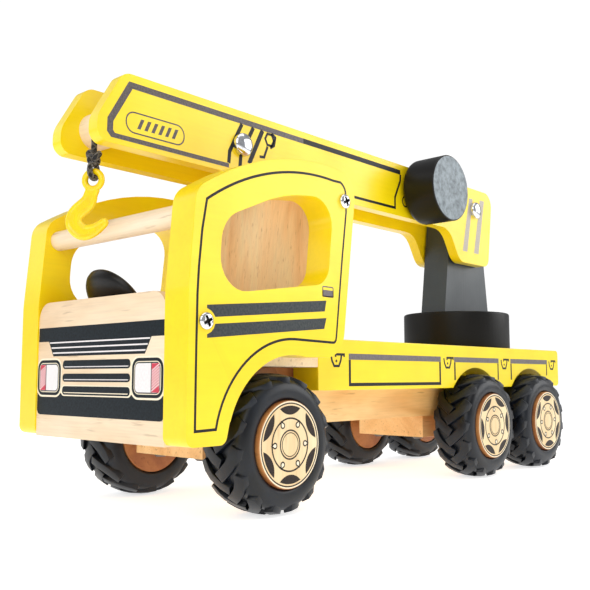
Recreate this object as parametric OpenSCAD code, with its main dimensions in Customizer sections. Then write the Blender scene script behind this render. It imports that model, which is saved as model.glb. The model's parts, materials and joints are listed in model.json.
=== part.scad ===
// Wooden six-wheeled crane truck, a pull-along toy. Front faces -Y, its own left side is +X, ground is z = 0.
// The origin is the middle of the footprint.

/* [Wheels] */
// Outer radius of a tyre
tyre_r = 33; // [31:0.5:35]
// Radius of a wooden wheel disc
hub_r = 20.4; // [18:0.2:22]
// Inner side plane of a tyre
tyre_in = 36.5; // [36:0.5:38]
// Outer side plane of a tyre
tyre_out = 63; // [60:0.5:64]
// Outer face of a wheel disc
hub_out = 64.4; // [63:0.2:66]
// Radius of an axle rod
axle_r = 2.5; // [2:0.5:4]
// Front, middle and rear axle positions along the truck
axle_y = [-120, 73, 150];

/* [Chassis and bed] */
// Half width of the long chassis board
chassis_hw = 34.5; // [30:0.5:35]
// Underside of the chassis board
chassis_z = 39.5; // [39:0.5:42]
// Half width of the bed and of the space between the cab sides
bed_hw = 51.4; // [50:0.2:53]
// Underside of the bed
bed_z0 = 57.1; // [56:0.1:58]
// Top of the bed
bed_z1 = 83.9; // [80:0.1:86]
// Front end of the bed
bed_front = -85; // [-86:1:-80]
// Rear end of the bed
bed_back = 198; // [190:1:200]
// Radius of the wheel arches cut in the bed
bed_arch_r = 36.8; // [35.5:0.1:37.5]

/* [Cab] */
// Thickness of a cab side board
side_t = 15.3; // [12:0.1:16]
// Front edge of the cab sides
side_front = -184; // [-186:0.5:-183]
// Radius of the front wheel arch
cab_arch_r = 41.8; // [38:0.1:43]
// Highest point of the roof line
roof_z = 169.4; // [168:0.1:169.5]
// Front face of the grille board
grille_front = -183.1; // [-183.5:0.1:-182.5]
// Thickness of the grille board
grille_t = 12; // [10:0.5:13]
// Radius of the windscreen rail
rail_r = 5.1; // [4.5:0.1:6]

/* [Crane] */
// Centre of the turntable along the truck
turn_y = 135; // [133:1:137]
// Radius of the turntable disc
turn_r = 39.2; // [36:0.2:42]
// Top of the turntable disc
turn_z = 110.9; // [106:0.1:114]
// Half width of the tower
tower_hw = 10.1; // [9.5:0.1:10.5]
// Half width of the gap between the boom boards
boom_gap = 11.7; // [11.3:0.1:12]
// Thickness of a boom board
boom_t = 7.2; // [6:0.1:8]
// Height of the boom pivot, the winch and the guide pin
pivot_z = 188.5; // [187:0.1:190]
// Winch knob radius
knob_r = 21.9; // [20:0.1:22.5]
// Radius of the hoist cord
cord_r = 1.4; // [1.1:0.1:1.5]

/* [Hidden] */
$fn = 96;
yellow = "#f5d90a";
wood = "#e8c58f";
black = "#2b2c2e";
steel = "#c8ccd0";
fit = 0.05;      // radial clearance of a running fit
glue = 0.02;     // radial clearance of a pressed or glued fit
axle_z = tyre_r; // axle height
block_hw = 26;   // half width of an axle block
block_z = 25;    // underside of an axle block
hub_in = 27;     // inner end of a hub's boss
boss_r = 5.9;    // radius of the boss, clear of the chassis board above it
pivot_y = 133;   // boom pivot, guide pin, winch and tip roller along the truck
guide_y = -109;
winch_y = 57;
tip_y = -179.1;
tip_z = 183.4;
tip_r = 9;
guide_z = 186.4;
spindle_r = 5;
cord_x = 3.9;    // the cord runs a little to the left of the middle
drop_y = tip_y - tip_r - cord_r - 0.1; // the hanging cord, in front of the tip roller
eye_z = 155.2;   // centre of the hook's eye
hook_turn = 32;  // how far the hook is turned about the vertical
boom_z0 = 169.9; // underside of the boom
boom_z1 = 205;   // top of the boom
steer = [-21, -158, 102];
steer_tilt = 52; // lean of the steering column from the vertical
steer_r = 19.5;

// A polygon's corners rounded: each point is [y, z, corner radius].
function corner(a, b, c, r, steps) =
    let (u = (a - b) / norm(a - b), v = (c - b) / norm(c - b))
    let (half = acos(u * v) / 2, middle = b + (u + v) / norm(u + v) * r / sin(half))
    let (start = b + u * r / tan(half) - middle, turn = 180 - 2 * half)
    let (way = cross(u, v) > 0 ? -1 : 1)
    [for (i = [0:steps]) let (t = way * turn * i / steps)
        middle + [start.x * cos(t) - start.y * sin(t), start.x * sin(t) + start.y * cos(t)]];
function flat2(p) = [p.x, p.y];
function rounded(points, steps = 8) = let (n = len(points)) [for (i = [0:n - 1])
    each points[i][2] == 0 ? [flat2(points[i])]
        : corner(flat2(points[(i + n - 1) % n]), flat2(points[i]), flat2(points[(i + 1) % n]), points[i][2], steps)];

// A side outline drawn as [y, z] and given thickness from x0 to x1.
module slab(x0, x1) {
    translate([x0, 0, 0])
        rotate([90, 0, 90])
            linear_extrude(x1 - x0)
                children();
}

// A round bar along X, its centre at y, z.
module bar(x0, x1, y, z, r) {
    translate([x0, y, z])
        rotate([0, 90, 0])
            cylinder(h = x1 - x0, r = r);
}

// A box from its lowest to its highest corner.
module block(low, high) {
    translate(low)
        cube(high - low);
}

// A pan head screw along X or Z: its head's underside is at the origin, its shank points to -Z.
module screw(head_r, head_h, shank_r, shank_l) {
    difference() {
        union() {
            cylinder(h = head_h * 0.5, r = head_r);
            translate([0, 0, head_h * 0.5])
                cylinder(h = head_h * 0.5, r1 = head_r, r2 = head_r * 0.7);
            translate([0, 0, -shank_l])
                cylinder(h = shank_l, r = shank_r);
        }
        for (a = [0, 90])
            rotate(a)
                translate([-head_r * 0.55, -0.5, head_h * 0.45])
                    cube([head_r * 1.1, 1, head_h]);
    }
}

// ---- chassis and bed ----
module chassis_board() {
    pocket_z = 48;
    color(wood) difference() {
        block([-chassis_hw, -170, chassis_z], [chassis_hw, 190, bed_z0]);
        translate([0, turn_y, chassis_z - 1])
            cylinder(h = 30, r = 4 + fit);
        translate([0, turn_y, chassis_z - 1])
            cylinder(h = pocket_z - chassis_z + 1, r = 9.5);
        block_screw_holes(0.1);
    }
}

module bed() {
    color(yellow) difference() {
        slab(-bed_hw, bed_hw)
            polygon(rounded([[bed_front, bed_z0, 0], [bed_front, bed_z1, 0],
                [bed_back, bed_z1, 3], [bed_back, bed_z0, 3]]));
        for (side = [-1, 1], y = [axle_y[1], axle_y[2]])
            bar(side > 0 ? chassis_hw : -bed_hw - 1, side > 0 ? bed_hw + 1 : -chassis_hw, y, axle_z, bed_arch_r);
        translate([0, turn_y, bed_z0 - 1])
            cylinder(h = 30, r = 4 + fit);
    }
}

module cab_riser() {
    color(wood) block([-chassis_hw, -171.1, bed_z0], [chassis_hw, bed_front, 69]);
}

module cab_floor() {
    color(wood) block([-bed_hw, -171.1, 69], [bed_hw, bed_front, bed_z1]);
}

module cab_rear_wall() {
    color(wood) difference() {
        slab(-bed_hw, bed_hw)
            polygon([[-97, bed_z1], [-85, bed_z1], [-74.6, 168.6], [-86.6, 168.6]]);
        cab_screw_holes(cab_screw_places[1]);
    }
}

// Pilot holes for one pair of cab screws in the board between the sides.
module cab_screw_holes(p) {
    for (side = [-1, 1])
        bar(side > 0 ? bed_hw - 9 : -bed_hw - 1, side > 0 ? bed_hw + 1 : -bed_hw + 9, p.x, p.y, 1.8 + glue);
}

// The line of the cab's rear edge, roof and front edge.
roof_r = 139;
roof_mid = [-98.5, roof_z - roof_r];
roof = [for (i = [0:10]) let (a = 121 - i * 4) [roof_mid.x + roof_r * cos(a), roof_mid.y + roof_r * sin(a), 0]];
side_outline = concat(
    [[side_front, 35.5, 4], [side_front, 100, 60], [-180.3, 143.5, 11]],
    [for (p = roof) if (p.x > -172 && p.x < -86) p],
    [[-71.9, 166.9, 13], [-84, 73.5, 14], [-119.9, 73.5, 0], [-119.9, 45, 0],
    [-160.2, 45, 0], [-162.5, 35.5, 4]]);
window_outline = [[-167.4, 99.3, 14], [-165.2, 132.6, 16], [-127, 149.4, 90], [-90.4, 153.8, 13], [-95.2, 109.8, 11]];

module cab_side(x0) {
    socket = 8;
    color(yellow) difference() {
        slab(x0, x0 + side_t)
            difference() {
                polygon(rounded(side_outline));
                polygon(rounded(window_outline));
            }
        bar(x0 - 1, x0 + side_t + 1, axle_y[0], 32.5, cab_arch_r);
        bar(x0 > 0 ? x0 - 1 : x0 + side_t - socket, x0 > 0 ? x0 + socket : x0 + side_t + 1,
            rail_y, rail_z, rail_r + glue);
        for (p = cab_screw_places)
            bar(x0 - 1, x0 + side_t + 1, p.x, p.y, 1.8 + glue);
    }
}
rail_y = -173;
rail_z = 134.9;
cab_screw_places = [[-174.6, 87.4], [-82.2, 153.2]];
module left_cab_side() { cab_side(bed_hw); }
module right_cab_side() { cab_side(-bed_hw - side_t); }

module cab_screws() {
    color(steel) for (side = [-1, 1], p = cab_screw_places)
        translate([side * (bed_hw + side_t), p.x, p.y])
            rotate([0, side * 90, 0])
                rotate(20)
                    screw(3.75, 2, 1.8, 24);
}

module grille_board() {
    color(wood) difference() {
        translate([0, grille_front + grille_t, 0])
            rotate([90, 0, 0])
                linear_extrude(grille_t)
                    polygon(rounded([[-bed_hw, 35, 0], [bed_hw, 35, 0], [bed_hw, 101.2, 9], [-bed_hw, 101.2, 9]]));
        cab_screw_holes(cab_screw_places[0]);
        steering_axis()
            translate([0, 0, -24])
                cylinder(h = 24, r = 3 + fit);
    }
}

module windscreen_rail() {
    color(wood) bar(-bed_hw - 8, bed_hw + 8, rail_y, rail_z, rail_r);
}

module axle_block(y0, y1, axles) {
    color(wood) difference() {
        block([-block_hw, y0, block_z], [block_hw, y1, chassis_z]);
        for (y = axles)
            bar(-block_hw - 1, block_hw + 1, y, axle_z, axle_r + fit);
        block_screw_holes(glue);
    }
}
module front_axle_block() { axle_block(axle_y[0] - 20, axle_y[0] + 20, [axle_y[0]]); }
module rear_axle_block() { axle_block(axle_y[1] - 25, axle_y[2] + 25, [axle_y[1], axle_y[2]]); }
block_screw_places = [for (x = [-16, 16], y = [axle_y[0] - 12, axle_y[0] + 12, axle_y[1] - 16, axle_y[2] + 16])
    [x, y, block_z]];

module block_screw_holes(gap) {
    for (p = block_screw_places)
        translate([p.x, p.y, p.z - 1])
            cylinder(h = 26, r = 1.7 + gap);
}

module axle_block_screws() {
    color(steel) for (p = block_screw_places)
        translate(p)
            rotate([180, 0, 0])
                screw(3.4, 1.8, 1.7, 24);
}

// ---- wheels ----
module axle(y) {
    color(steel) bar(-60, 60, y, axle_z, axle_r);
}

// The wheel on the left, turned about the truck's middle plane for the right.
module on_side(side, y) {
    translate([0, y, axle_z])
        rotate([0, side > 0 ? 90 : -90, 0])
            children();
}

module hub(side, y) {
    color(wood) on_side(side, y)
        difference() {
            union() {
                translate([0, 0, tyre_in + 0.5])
                    cylinder(h = hub_out - tyre_in - 0.5, r = hub_r);
                translate([0, 0, hub_in])
                    cylinder(h = 12, r = boss_r);
            }
            translate([0, 0, hub_in - 1])
                cylinder(h = 60 - hub_in + 1.2, r = axle_r + glue);
        }
}

module tyre(side, y) {
    color(black) on_side(side, y)
        rotate_extrude()
            polygon([[hub_r + glue, tyre_in + 2], [hub_r + 3, tyre_in], [tyre_r - 3, tyre_in + 0.6],
                [tyre_r, tyre_in + 3.6], [tyre_r, tyre_out - 4.5], [tyre_r - 2.4, tyre_out - 1],
                [tyre_r - 6, tyre_out], [hub_r + 2, tyre_out - 0.8], [hub_r + glue, tyre_out - 3]]);
}

module front_axle() { axle(axle_y[0]); }
module front_left_hub() { hub(1, axle_y[0]); }
module front_right_hub() { hub(-1, axle_y[0]); }
module front_left_tyre() { tyre(1, axle_y[0]); }
module front_right_tyre() { tyre(-1, axle_y[0]); }
module middle_axle() { axle(axle_y[1]); }
module middle_left_hub() { hub(1, axle_y[1]); }
module middle_right_hub() { hub(-1, axle_y[1]); }
module middle_left_tyre() { tyre(1, axle_y[1]); }
module middle_right_tyre() { tyre(-1, axle_y[1]); }
module rear_axle() { axle(axle_y[2]); }
module rear_left_hub() { hub(1, axle_y[2]); }
module rear_right_hub() { hub(-1, axle_y[2]); }
module rear_left_tyre() { tyre(1, axle_y[2]); }
module rear_right_tyre() { tyre(-1, axle_y[2]); }

// ---- steering ----
module steering_axis() {
    translate(steer)
        rotate([-steer_tilt, 0, 0])
            children();
}

module steering_wheel() {
    color(black) steering_axis()
        rotate_extrude()
            polygon([[3 + glue, -7], [8, -6.6], [14, -5.2], [18.2, -2.6], [steer_r, 0], [19, 1], [16, 1.6], [0, 1.6], [0, -3],
                [3 + glue, -3]]);
}

module steering_stem() {
    color(wood) steering_axis()
        translate([0, 0, -22])
            cylinder(h = 19, r = 3);
}

// ---- turntable and tower ----
module turntable_disc() {
    color(black) difference() {
        translate([0, turn_y, bed_z1 + 0.4])
            rotate_extrude()
                polygon([[0, 0], [turn_r - 1, 0], [turn_r, 1], [turn_r, turn_z - bed_z1 - 1.4],
                    [turn_r - 1, turn_z - bed_z1 - 0.4], [0, turn_z - bed_z1 - 0.4]]);
        translate([0, turn_y, bed_z1])
            cylinder(h = 21, r = 4 + glue);
        for (y = tower_screw_y)
            translate([0, y, bed_z1])
                cylinder(h = 30, r = 1.7 + glue);
        for (y = tower_screw_y)
            translate([0, y, bed_z1])
                cylinder(h = 3, r = 3.6);
    }
}
tower_screw_y = [turn_y - 22, turn_y + 22];

module turntable_bolt() {
    color(steel) translate([0, turn_y, 40.5])
        cylinder(h = 64, r = 4);
}

module turntable_nut() {
    color(steel) translate([0, turn_y, 41])
        difference() {
            union() {
                cylinder(h = 5, r = 7, $fn = 6);
                translate([0, 0, 5])
                    cylinder(h = 1.6, r = 9);
            }
            translate([0, 0, -1])
                cylinder(h = 9, r = 4 + glue);
        }
}

tower_top = [134.9, 181];
module tower() {
    color(black) difference() {
        slab(-tower_hw, tower_hw) {
            polygon([[103.3, turn_z], [166.4, turn_z], [156.8, tower_top.y], [113.2, tower_top.y]]);
            translate(tower_top)
                circle(r = 21.6);
        }
        bar(-tower_hw - 1, tower_hw + 1, pivot_y, pivot_z, 4 + fit);
        for (y = tower_screw_y)
            translate([0, y, turn_z - 1])
                cylinder(h = 21, r = 1.7 + glue);
    }
}

module tower_screws() {
    color(steel) for (y = tower_screw_y)
        translate([0, y, bed_z1 + 2.6])
            rotate([180, 0, 0])
                screw(3.4, 1.8, 1.7, 42);
}

// ---- boom ----
boom_outline = [[-197.9, boom_z0, 6], [-197.9, 181.5, 14], [-184.5, boom_z1, 8],
    [160.6, boom_z1, 10], [152.5, 147.5, 7], [111, 147.5, 12], [97, boom_z0, 16]];

module boom_board(x0) {
    color(yellow) difference() {
        slab(x0, x0 + boom_t)
            polygon(rounded(boom_outline));
        bar(x0 - 1, x0 + boom_t + 1, guide_y, guide_z, 2.5 + glue);
        bar(x0 - 1, x0 + boom_t + 1, pivot_y, pivot_z, 4 + glue);
        bar(x0 - 1, x0 + boom_t + 1, winch_y, pivot_z, spindle_r + fit);
        bar(x0 > 0 ? x0 - 1 : x0 + 3, x0 > 0 ? x0 + boom_t - 3 : x0 + boom_t + 1, tip_y, tip_z, tip_r + glue);
    }
}
module left_boom_board() { boom_board(boom_gap); }
module right_boom_board() { boom_board(-boom_gap - boom_t); }

module tip_roller() {
    color(wood) bar(-boom_gap - 4, boom_gap + 4, tip_y, tip_z, tip_r);
}

module guide_pin() {
    color(steel) bar(-20.5, 20.5, guide_y, guide_z, 2.5);
}

module guide_spacer() {
    color(wood) difference() {
        bar(-boom_gap, boom_gap, guide_y, guide_z, 6);
        bar(-boom_gap - 1, boom_gap + 1, guide_y, guide_z, 2.5 + glue);
    }
}

module boom_pivot_pin() {
    color(steel) bar(-20.5, 20.5, pivot_y, pivot_z, 4);
}

module pivot_washers() {
    color(steel) for (side = [-1, 1])
        translate([side > 0 ? boom_gap - 1.2 : -boom_gap, 0, 0])
            difference() {
                bar(0, 1.2, pivot_y, pivot_z, 9);
                bar(-1, 3, pivot_y, pivot_z, 4 + glue);
            }
}

// A domed push-on cap at each end of the guide pin and of the pivot pin.
module pin_caps() {
    cap_r = 6.2;
    color(steel) for (side = [-1, 1], p = [[guide_y, guide_z, 2.5], [pivot_y, pivot_z, 4]])
        translate([side * (boom_gap + boom_t), p[0], p[1]])
            rotate([0, side * 90, 0])
                rotate_extrude()
                    polygon([[p[2] + glue, 0], [cap_r, 0], [cap_r, 2], [cap_r * 0.85, 3.2], [cap_r * 0.5, 4], [0, 4.3],
                        [0, 1.7], [p[2] + glue, 1.7]]);
}

// ---- winch ----
knob_x = [20.3, 45.3];
module winch_spindle() {
    color(wood) bar(-22, 38, winch_y, pivot_z, spindle_r);
}

module winch_knob() {
    color(black) translate([knob_x[0], winch_y, pivot_z])
        rotate([0, 90, 0])
            rotate_extrude()
                polygon([[spindle_r + glue, 0], [knob_r - 4, 0], [knob_r - 1.2, 1.3], [knob_r, 4], [knob_r, 24.2],
                    [knob_r - 0.8, 25], [0, 25], [0, 17.8], [spindle_r + glue, 17.8]]);
}

module winch_end_cap() {
    color(black) translate([-boom_gap - boom_t - 0.4, winch_y, pivot_z])
        rotate([0, -90, 0])
            rotate_extrude()
                polygon([[spindle_r + glue, 0], [9, 0], [9, 3], [8, 4], [0, 4], [0, 2.8], [spindle_r + glue, 2.8]]);
}

module cord_winding() {
    color(black) difference() {
        bar(-6.5, cord_x - cord_r - 0.4, winch_y, pivot_z, spindle_r + 2 * cord_r);
        bar(-8, cord_x, winch_y, pivot_z, spindle_r + glue);
    }
}

// ---- cord and hook ----
// A tube swept along points of one plane x = const: each ring stands across the mean of its two directions.
module tube(points, r, sides) {
    n = len(points);
    function way(i) = let (d = points[min(i + 1, n - 1)] - points[max(i - 1, 0)]) d / norm(d);
    rings = [for (i = [0:n - 1], k = [0:sides - 1]) let (a = 360 * k / sides, d = way(i))
        points[i] + r * (cos(a) * [1, 0, 0] + sin(a) * [0, -d.z, d.y])];
    sleeve = [for (i = [0:n - 2], k = [0:sides - 1])
        [i * sides + k, i * sides + (k + 1) % sides, (i + 1) * sides + (k + 1) % sides, (i + 1) * sides + k]];
    polyhedron(rings, concat(sleeve, [[for (k = [sides - 1:-1:0]) k]],
        [[for (k = [0:sides - 1]) (n - 1) * sides + k]]));
}

// From the winch, along between the boom boards and a quarter turn over the tip roller.
cord_turn = tip_r + cord_r + 0.1;
cord_route = concat([for (i = [0:12]) let (t = i / 12)
    [cord_x, winch_y + t * (tip_y - winch_y), 195.1 + t * (tip_z + cord_turn - 195.1)]],
    [for (a = [15:15:90]) [cord_x, tip_y - cord_turn * sin(a), tip_z + cord_turn * cos(a)]]);
module hoist_cord() {
    color(black) tube(cord_route, cord_r, 8);
}

module cord_drop() {
    color(black) tube([for (z = [tip_z - 0.3, 179, 174, eye_z + 13.8]) [cord_x, drop_y, z]], cord_r, 8);
}

module at_eye() {
    translate([cord_x, drop_y, eye_z])
        rotate(hook_turn)
            children();
}
eye_ring = 4.15; // radius of the eye's ring, and half its thickness
eye_wire = 1.5;

module cord_knot() {
    color(black) at_eye() {
        translate([0, 0, 9.7])
            sphere(r = 3.8);
        translate([0, 0, eye_ring])
            rotate([0, 90, 0])
                rotate_extrude()
                    translate([3.3, 0])
                        circle(r = cord_r, $fn = 48);
    }
}

// The hook: discs along its middle line, joined in turn, as [across, up, radius].
hook_line = [[-1, -6.6, 3.6], [-2.6, -10.8, 4], [-8, -15.6, 4.1], [-8.8, -20.4, 4.3], [-4.6, -24.3, 4], [0.8, -23.6, 3.2],
    [5.8, -20.3, 2.3]];
module hook() {
    color(yellow) at_eye()
        rotate([90, 0, 0]) {
            rotate_extrude()
                translate([eye_ring, 0])
                    circle(r = eye_wire, $fn = 48);
            translate([0, 0, -2])
                linear_extrude(4)
                    for (i = [0:len(hook_line) - 2])
                        hull() for (p = [hook_line[i], hook_line[i + 1]])
                            translate([p[0], p[1]])
                                circle(r = p[2], $fn = 32);
        }
}

chassis_board();
bed();
cab_riser();
cab_floor();
cab_rear_wall();
grille_board();
left_cab_side();
right_cab_side();
windscreen_rail();
cab_screws();
front_axle_block();
rear_axle_block();
axle_block_screws();
front_axle();
front_left_hub();
front_right_hub();
front_left_tyre();
front_right_tyre();
middle_axle();
middle_left_hub();
middle_right_hub();
middle_left_tyre();
middle_right_tyre();
rear_axle();
rear_left_hub();
rear_right_hub();
rear_left_tyre();
rear_right_tyre();
steering_wheel();
steering_stem();
turntable_disc();
turntable_bolt();
turntable_nut();
tower();
tower_screws();
left_boom_board();
right_boom_board();
tip_roller();
guide_pin();
guide_spacer();
boom_pivot_pin();
pivot_washers();
pin_caps();
winch_spindle();
winch_knob();
winch_end_cap();
cord_winding();
hoist_cord();
cord_drop();
cord_knot();
hook();
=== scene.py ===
"""Wooden six-wheeled crane truck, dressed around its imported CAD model.

The truck faces -Y and its own left side is +X. Lengths are in millimetres, times MM where Blender takes them.
"""
import json
import math
import bpy
import bmesh
from mathutils import Matrix, Vector
from mathutils.geometry import tessellate_polygon


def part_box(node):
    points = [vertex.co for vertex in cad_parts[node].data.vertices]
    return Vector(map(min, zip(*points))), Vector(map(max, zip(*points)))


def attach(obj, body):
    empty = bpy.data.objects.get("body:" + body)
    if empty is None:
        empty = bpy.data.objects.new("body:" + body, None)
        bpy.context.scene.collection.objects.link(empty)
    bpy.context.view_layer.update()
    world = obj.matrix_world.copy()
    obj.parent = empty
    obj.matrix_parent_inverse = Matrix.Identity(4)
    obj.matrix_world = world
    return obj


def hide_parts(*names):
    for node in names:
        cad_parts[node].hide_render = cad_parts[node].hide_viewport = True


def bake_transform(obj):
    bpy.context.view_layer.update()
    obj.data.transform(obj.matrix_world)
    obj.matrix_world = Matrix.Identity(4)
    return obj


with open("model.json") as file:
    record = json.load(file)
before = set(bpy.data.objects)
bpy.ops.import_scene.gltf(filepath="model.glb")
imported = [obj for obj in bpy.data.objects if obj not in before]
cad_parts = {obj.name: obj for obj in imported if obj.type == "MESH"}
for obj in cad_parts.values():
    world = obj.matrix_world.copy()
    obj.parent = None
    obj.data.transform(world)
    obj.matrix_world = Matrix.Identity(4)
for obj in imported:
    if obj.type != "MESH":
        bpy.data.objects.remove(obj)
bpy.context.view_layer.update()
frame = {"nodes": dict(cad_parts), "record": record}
MM = 0.001

# ---------------------------------------------------------------- camera

YAW = math.radians(42.49)
PITCH = math.radians(5.82)
camera_data = bpy.data.cameras.new("camera")
camera_data.sensor_width = 36
camera_data.lens = 48.51
camera_data.clip_start = 0.02
camera = bpy.data.objects.new("camera", camera_data)
camera.location = (0.31787, -0.39348, 0.06455)
camera.rotation_euler = (math.pi / 2 + PITCH, 0, YAW)
bpy.context.scene.collection.objects.link(camera)
bpy.context.scene.camera = camera
bpy.context.scene.view_settings.view_transform = "Standard"

# ---------------------------------------------------------------- materials


class Shader:
    """A material with a Principled shader; node() adds a node, and links any socket given as a value."""

    def __init__(self, name, roughness=0.5, **settings):
        self.material = bpy.data.materials.new(name)
        self.material.use_nodes = True
        self.tree = self.material.node_tree
        self.tree.nodes.clear()
        output = self.tree.nodes.new("ShaderNodeOutputMaterial")
        self.surface = self.tree.nodes.new("ShaderNodeBsdfPrincipled")
        self.tree.links.new(self.surface.outputs[0], output.inputs[0])
        self.surface.inputs["Roughness"].default_value = roughness
        for key, value in settings.items():
            self.surface.inputs[key.replace("_", " ")].default_value = value

    def node(self, kind, values=None, **properties):
        made = self.tree.nodes.new("ShaderNode" + kind)
        for key, value in properties.items():
            setattr(made, key, value)
        for key, value in (values or {}).items():
            if isinstance(value, bpy.types.NodeSocket):
                self.tree.links.new(value, made.inputs[key])
            else:
                made.inputs[key].default_value = value
        return made

    def link(self, socket, name):
        self.tree.links.new(socket, self.surface.inputs[name])

    def place(self, scale=(1, 1, 1), source="Object"):
        coordinates = self.node("TexCoord").outputs[source]
        return self.node("Mapping", {"Vector": coordinates, "Scale": scale}).outputs[0]

    def noise(self, vector, scale, detail=3, roughness=0.5, distortion=0.0):
        values = {"Vector": vector, "Scale": scale, "Detail": detail}
        values.update({"Roughness": roughness, "Distortion": distortion})
        return self.node("TexNoise", values).outputs["Fac"]

    def ramp(self, factor, stops):
        made = self.node("ValToRGB", {"Fac": factor})
        elements = made.color_ramp.elements
        while len(elements) < len(stops):
            elements.new(0.5)
        for element, (at, colour) in zip(elements, stops):
            element.position = at
            element.color = (*colour, 1) if hasattr(colour, "__len__") else (colour, colour, colour, 1)
        return made.outputs[0]

    def mix(self, factor, a, b, blend="MIX"):
        made = self.node("Mix", {0: factor}, data_type="RGBA", blend_type=blend)
        for index, value in ((6, a), (7, b)):
            if isinstance(value, bpy.types.NodeSocket):
                self.tree.links.new(value, made.inputs[index])
            else:
                made.inputs[index].default_value = (*value, 1)
        return made.outputs[2]

    def bump(self, height, strength, distance):
        made = self.node("Bump", {"Height": height, "Strength": strength, "Distance": distance})
        self.link(made.outputs[0], "Normal")


def linear(share):
    """A display value from 0 to 1 as the linear light that the shaders take."""
    return share / 12.92 if share <= 0.04045 else ((share + 0.055) / 1.055) ** 2.4


def srgb(red, green, blue):
    """A shader colour from 0-255 display values."""
    return tuple(linear(value / 255) for value in (red, green, blue))


def stretched(axis, along, across):
    """Noise scale for fibres that run along one axis."""
    return tuple(along if name == axis else across for name in "XYZ")


def wood(name, light, middle, dark, axis, roughness=0.46, fleck=0.35, bands=26, pore_scale=520):
    """Bare lacquered wood with fibres along an axis: growth bands, fine fibres and dark pores."""
    shader = Shader(name, roughness, IOR=1.45, Coat_Weight=0.06, Coat_Roughness=0.25)
    figure = shader.noise(shader.place(stretched(axis, 0.16, 1)), bands, 4, 0.55, 1.1)
    tone = shader.ramp(figure, [(0.3, dark), (0.47, middle), (0.62, light), (0.8, middle)])
    fibres = shader.noise(shader.place(stretched(axis, 0.05, 1)), 900, 3, 0.6)
    fibre_tone = shader.ramp(fibres, [(0.25, 0.80), (0.6, 1.0)])
    body = shader.mix(0.55, tone, fibre_tone, "MULTIPLY")
    pores = shader.noise(shader.place(stretched(axis, 0.09, 1)), pore_scale, 2, 0.5)
    pore_mask = shader.ramp(pores, [(0.28, 1.0), (0.36, 0.0)])
    weight = shader.node("Math", {0: pore_mask, 1: fleck}, operation="MULTIPLY").outputs[0]
    shader.link(shader.mix(weight, body, tuple(0.55 * c for c in dark)), "Base Color")
    shader.link(shader.ramp(fibres, [(0.2, roughness + 0.12), (0.8, roughness - 0.05)]), "Roughness")
    shader.bump(fibres, 0.18, 0.0002)
    return shader.material


def paint(name, colour, deep, roughness=0.3, axis="Y", coat=0.5, grain=0.22, gloss=0.4):
    """Paint on wood: slightly uneven colour, a hint of the grain, and the deeper colour on the rounded edges
    as painted shade.
    """
    shader = Shader(name, roughness, IOR=1.5, Specular_IOR_Level=gloss, Coat_Weight=coat, Coat_Roughness=0.16)
    clouds = shader.noise(shader.place(), 38, 3, 0.5)
    fibres = shader.noise(shader.place(stretched(axis, 0.06, 1)), 520, 3, 0.6)
    mottled = shader.mix(shader.ramp(clouds, [(0.35, 0.0), (0.7, 0.5)]), colour, deep)
    lines = shader.ramp(fibres, [(0.3, 0.93), (0.6, 1.0)])
    body = shader.mix(0.6, mottled, lines, "MULTIPLY")
    # Painted shade: the rounded edges, found by pointiness, run towards the deeper colour.
    edges = shader.ramp(shader.node("NewGeometry").outputs["Pointiness"], [(0.5, 0.0), (0.62, 0.35)])
    shader.link(shader.mix(edges, body, deep), "Base Color")
    shader.link(shader.ramp(clouds, [(0.3, roughness - 0.04), (0.7, roughness + 0.06)]), "Roughness")
    shader.bump(fibres, grain, 0.00012)
    return shader.material


def rubber(name, colour, sheen_grey):
    """Moulded rubber with a fine grain, run towards a blue-grey in random patches as a painted sheen, and
    rougher there.
    """
    shader = Shader(name, 0.5, IOR=1.5, Specular_IOR_Level=0.38)
    grains = shader.noise(shader.place(), 1600, 2, 0.6)
    sheen_patches = shader.noise(shader.place(), 70, 4, 0.6)
    # Painted sheen: random patches of blue-grey over the black rubber.
    shader.link(shader.mix(shader.ramp(sheen_patches, [(0.4, 0.0), (0.75, 0.55)]), colour, sheen_grey), "Base Color")
    shader.link(shader.ramp(sheen_patches, [(0.3, 0.3), (0.8, 0.46)]), "Roughness")
    shader.bump(grains, 0.35, 0.0001)
    return shader.material


def plain(name, colour, other, roughness, metallic=0.0, scale=300, bump=0.08, **settings):
    """Moulded plastic, printed ink or bright metal: a fine mottle in colour, gloss and surface."""
    shader = Shader(name, roughness, Metallic=metallic, **settings)
    mottle = shader.noise(shader.place(), scale, 3, 0.6)
    shader.link(shader.mix(shader.ramp(mottle, [(0.35, 0.0), (0.7, 1.0)]), colour, other), "Base Color")
    smoothest = max(roughness - 0.05, 0.05)
    shader.link(shader.ramp(mottle, [(0.3, smoothest), (0.7, roughness + 0.06)]), "Roughness")
    shader.bump(mottle, bump, 0.0001)
    return shader.material


def braid(name, colour, light):
    """Braided cord, from the mesh's own coordinates: u runs round it and v counts diameters along it."""
    shader = Shader(name, 0.75, Sheen_Weight=0.4, Sheen_Roughness=0.4)
    split = shader.node("SeparateXYZ", {"Vector": shader.node("TexCoord").outputs["UV"]})
    waves = []
    for sign in (1, -1):
        turned = shader.node("Math", {0: split.outputs[0], 1: 3.0 * sign}, operation="MULTIPLY").outputs[0]
        moved = shader.node("Math", {0: split.outputs[1], 1: 0.9}, operation="MULTIPLY").outputs[0]
        phase = shader.node("Math", {0: turned, 1: moved}, operation="ADD").outputs[0]
        angle = shader.node("Math", {0: phase, 1: 2 * math.pi}, operation="MULTIPLY").outputs[0]
        waves.append(shader.node("Math", {0: angle}, operation="SINE").outputs[0])
    strands = shader.node("Math", {0: waves[0], 1: waves[1]}, operation="MAXIMUM").outputs[0]
    # The strands' crests run to the lighter colour, a painted highlight on the black cord.
    shader.link(shader.ramp(strands, [(0.55, colour), (1.0, light)]), "Base Color")
    shader.bump(strands, 0.9, 0.0004)
    return shader.material


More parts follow.
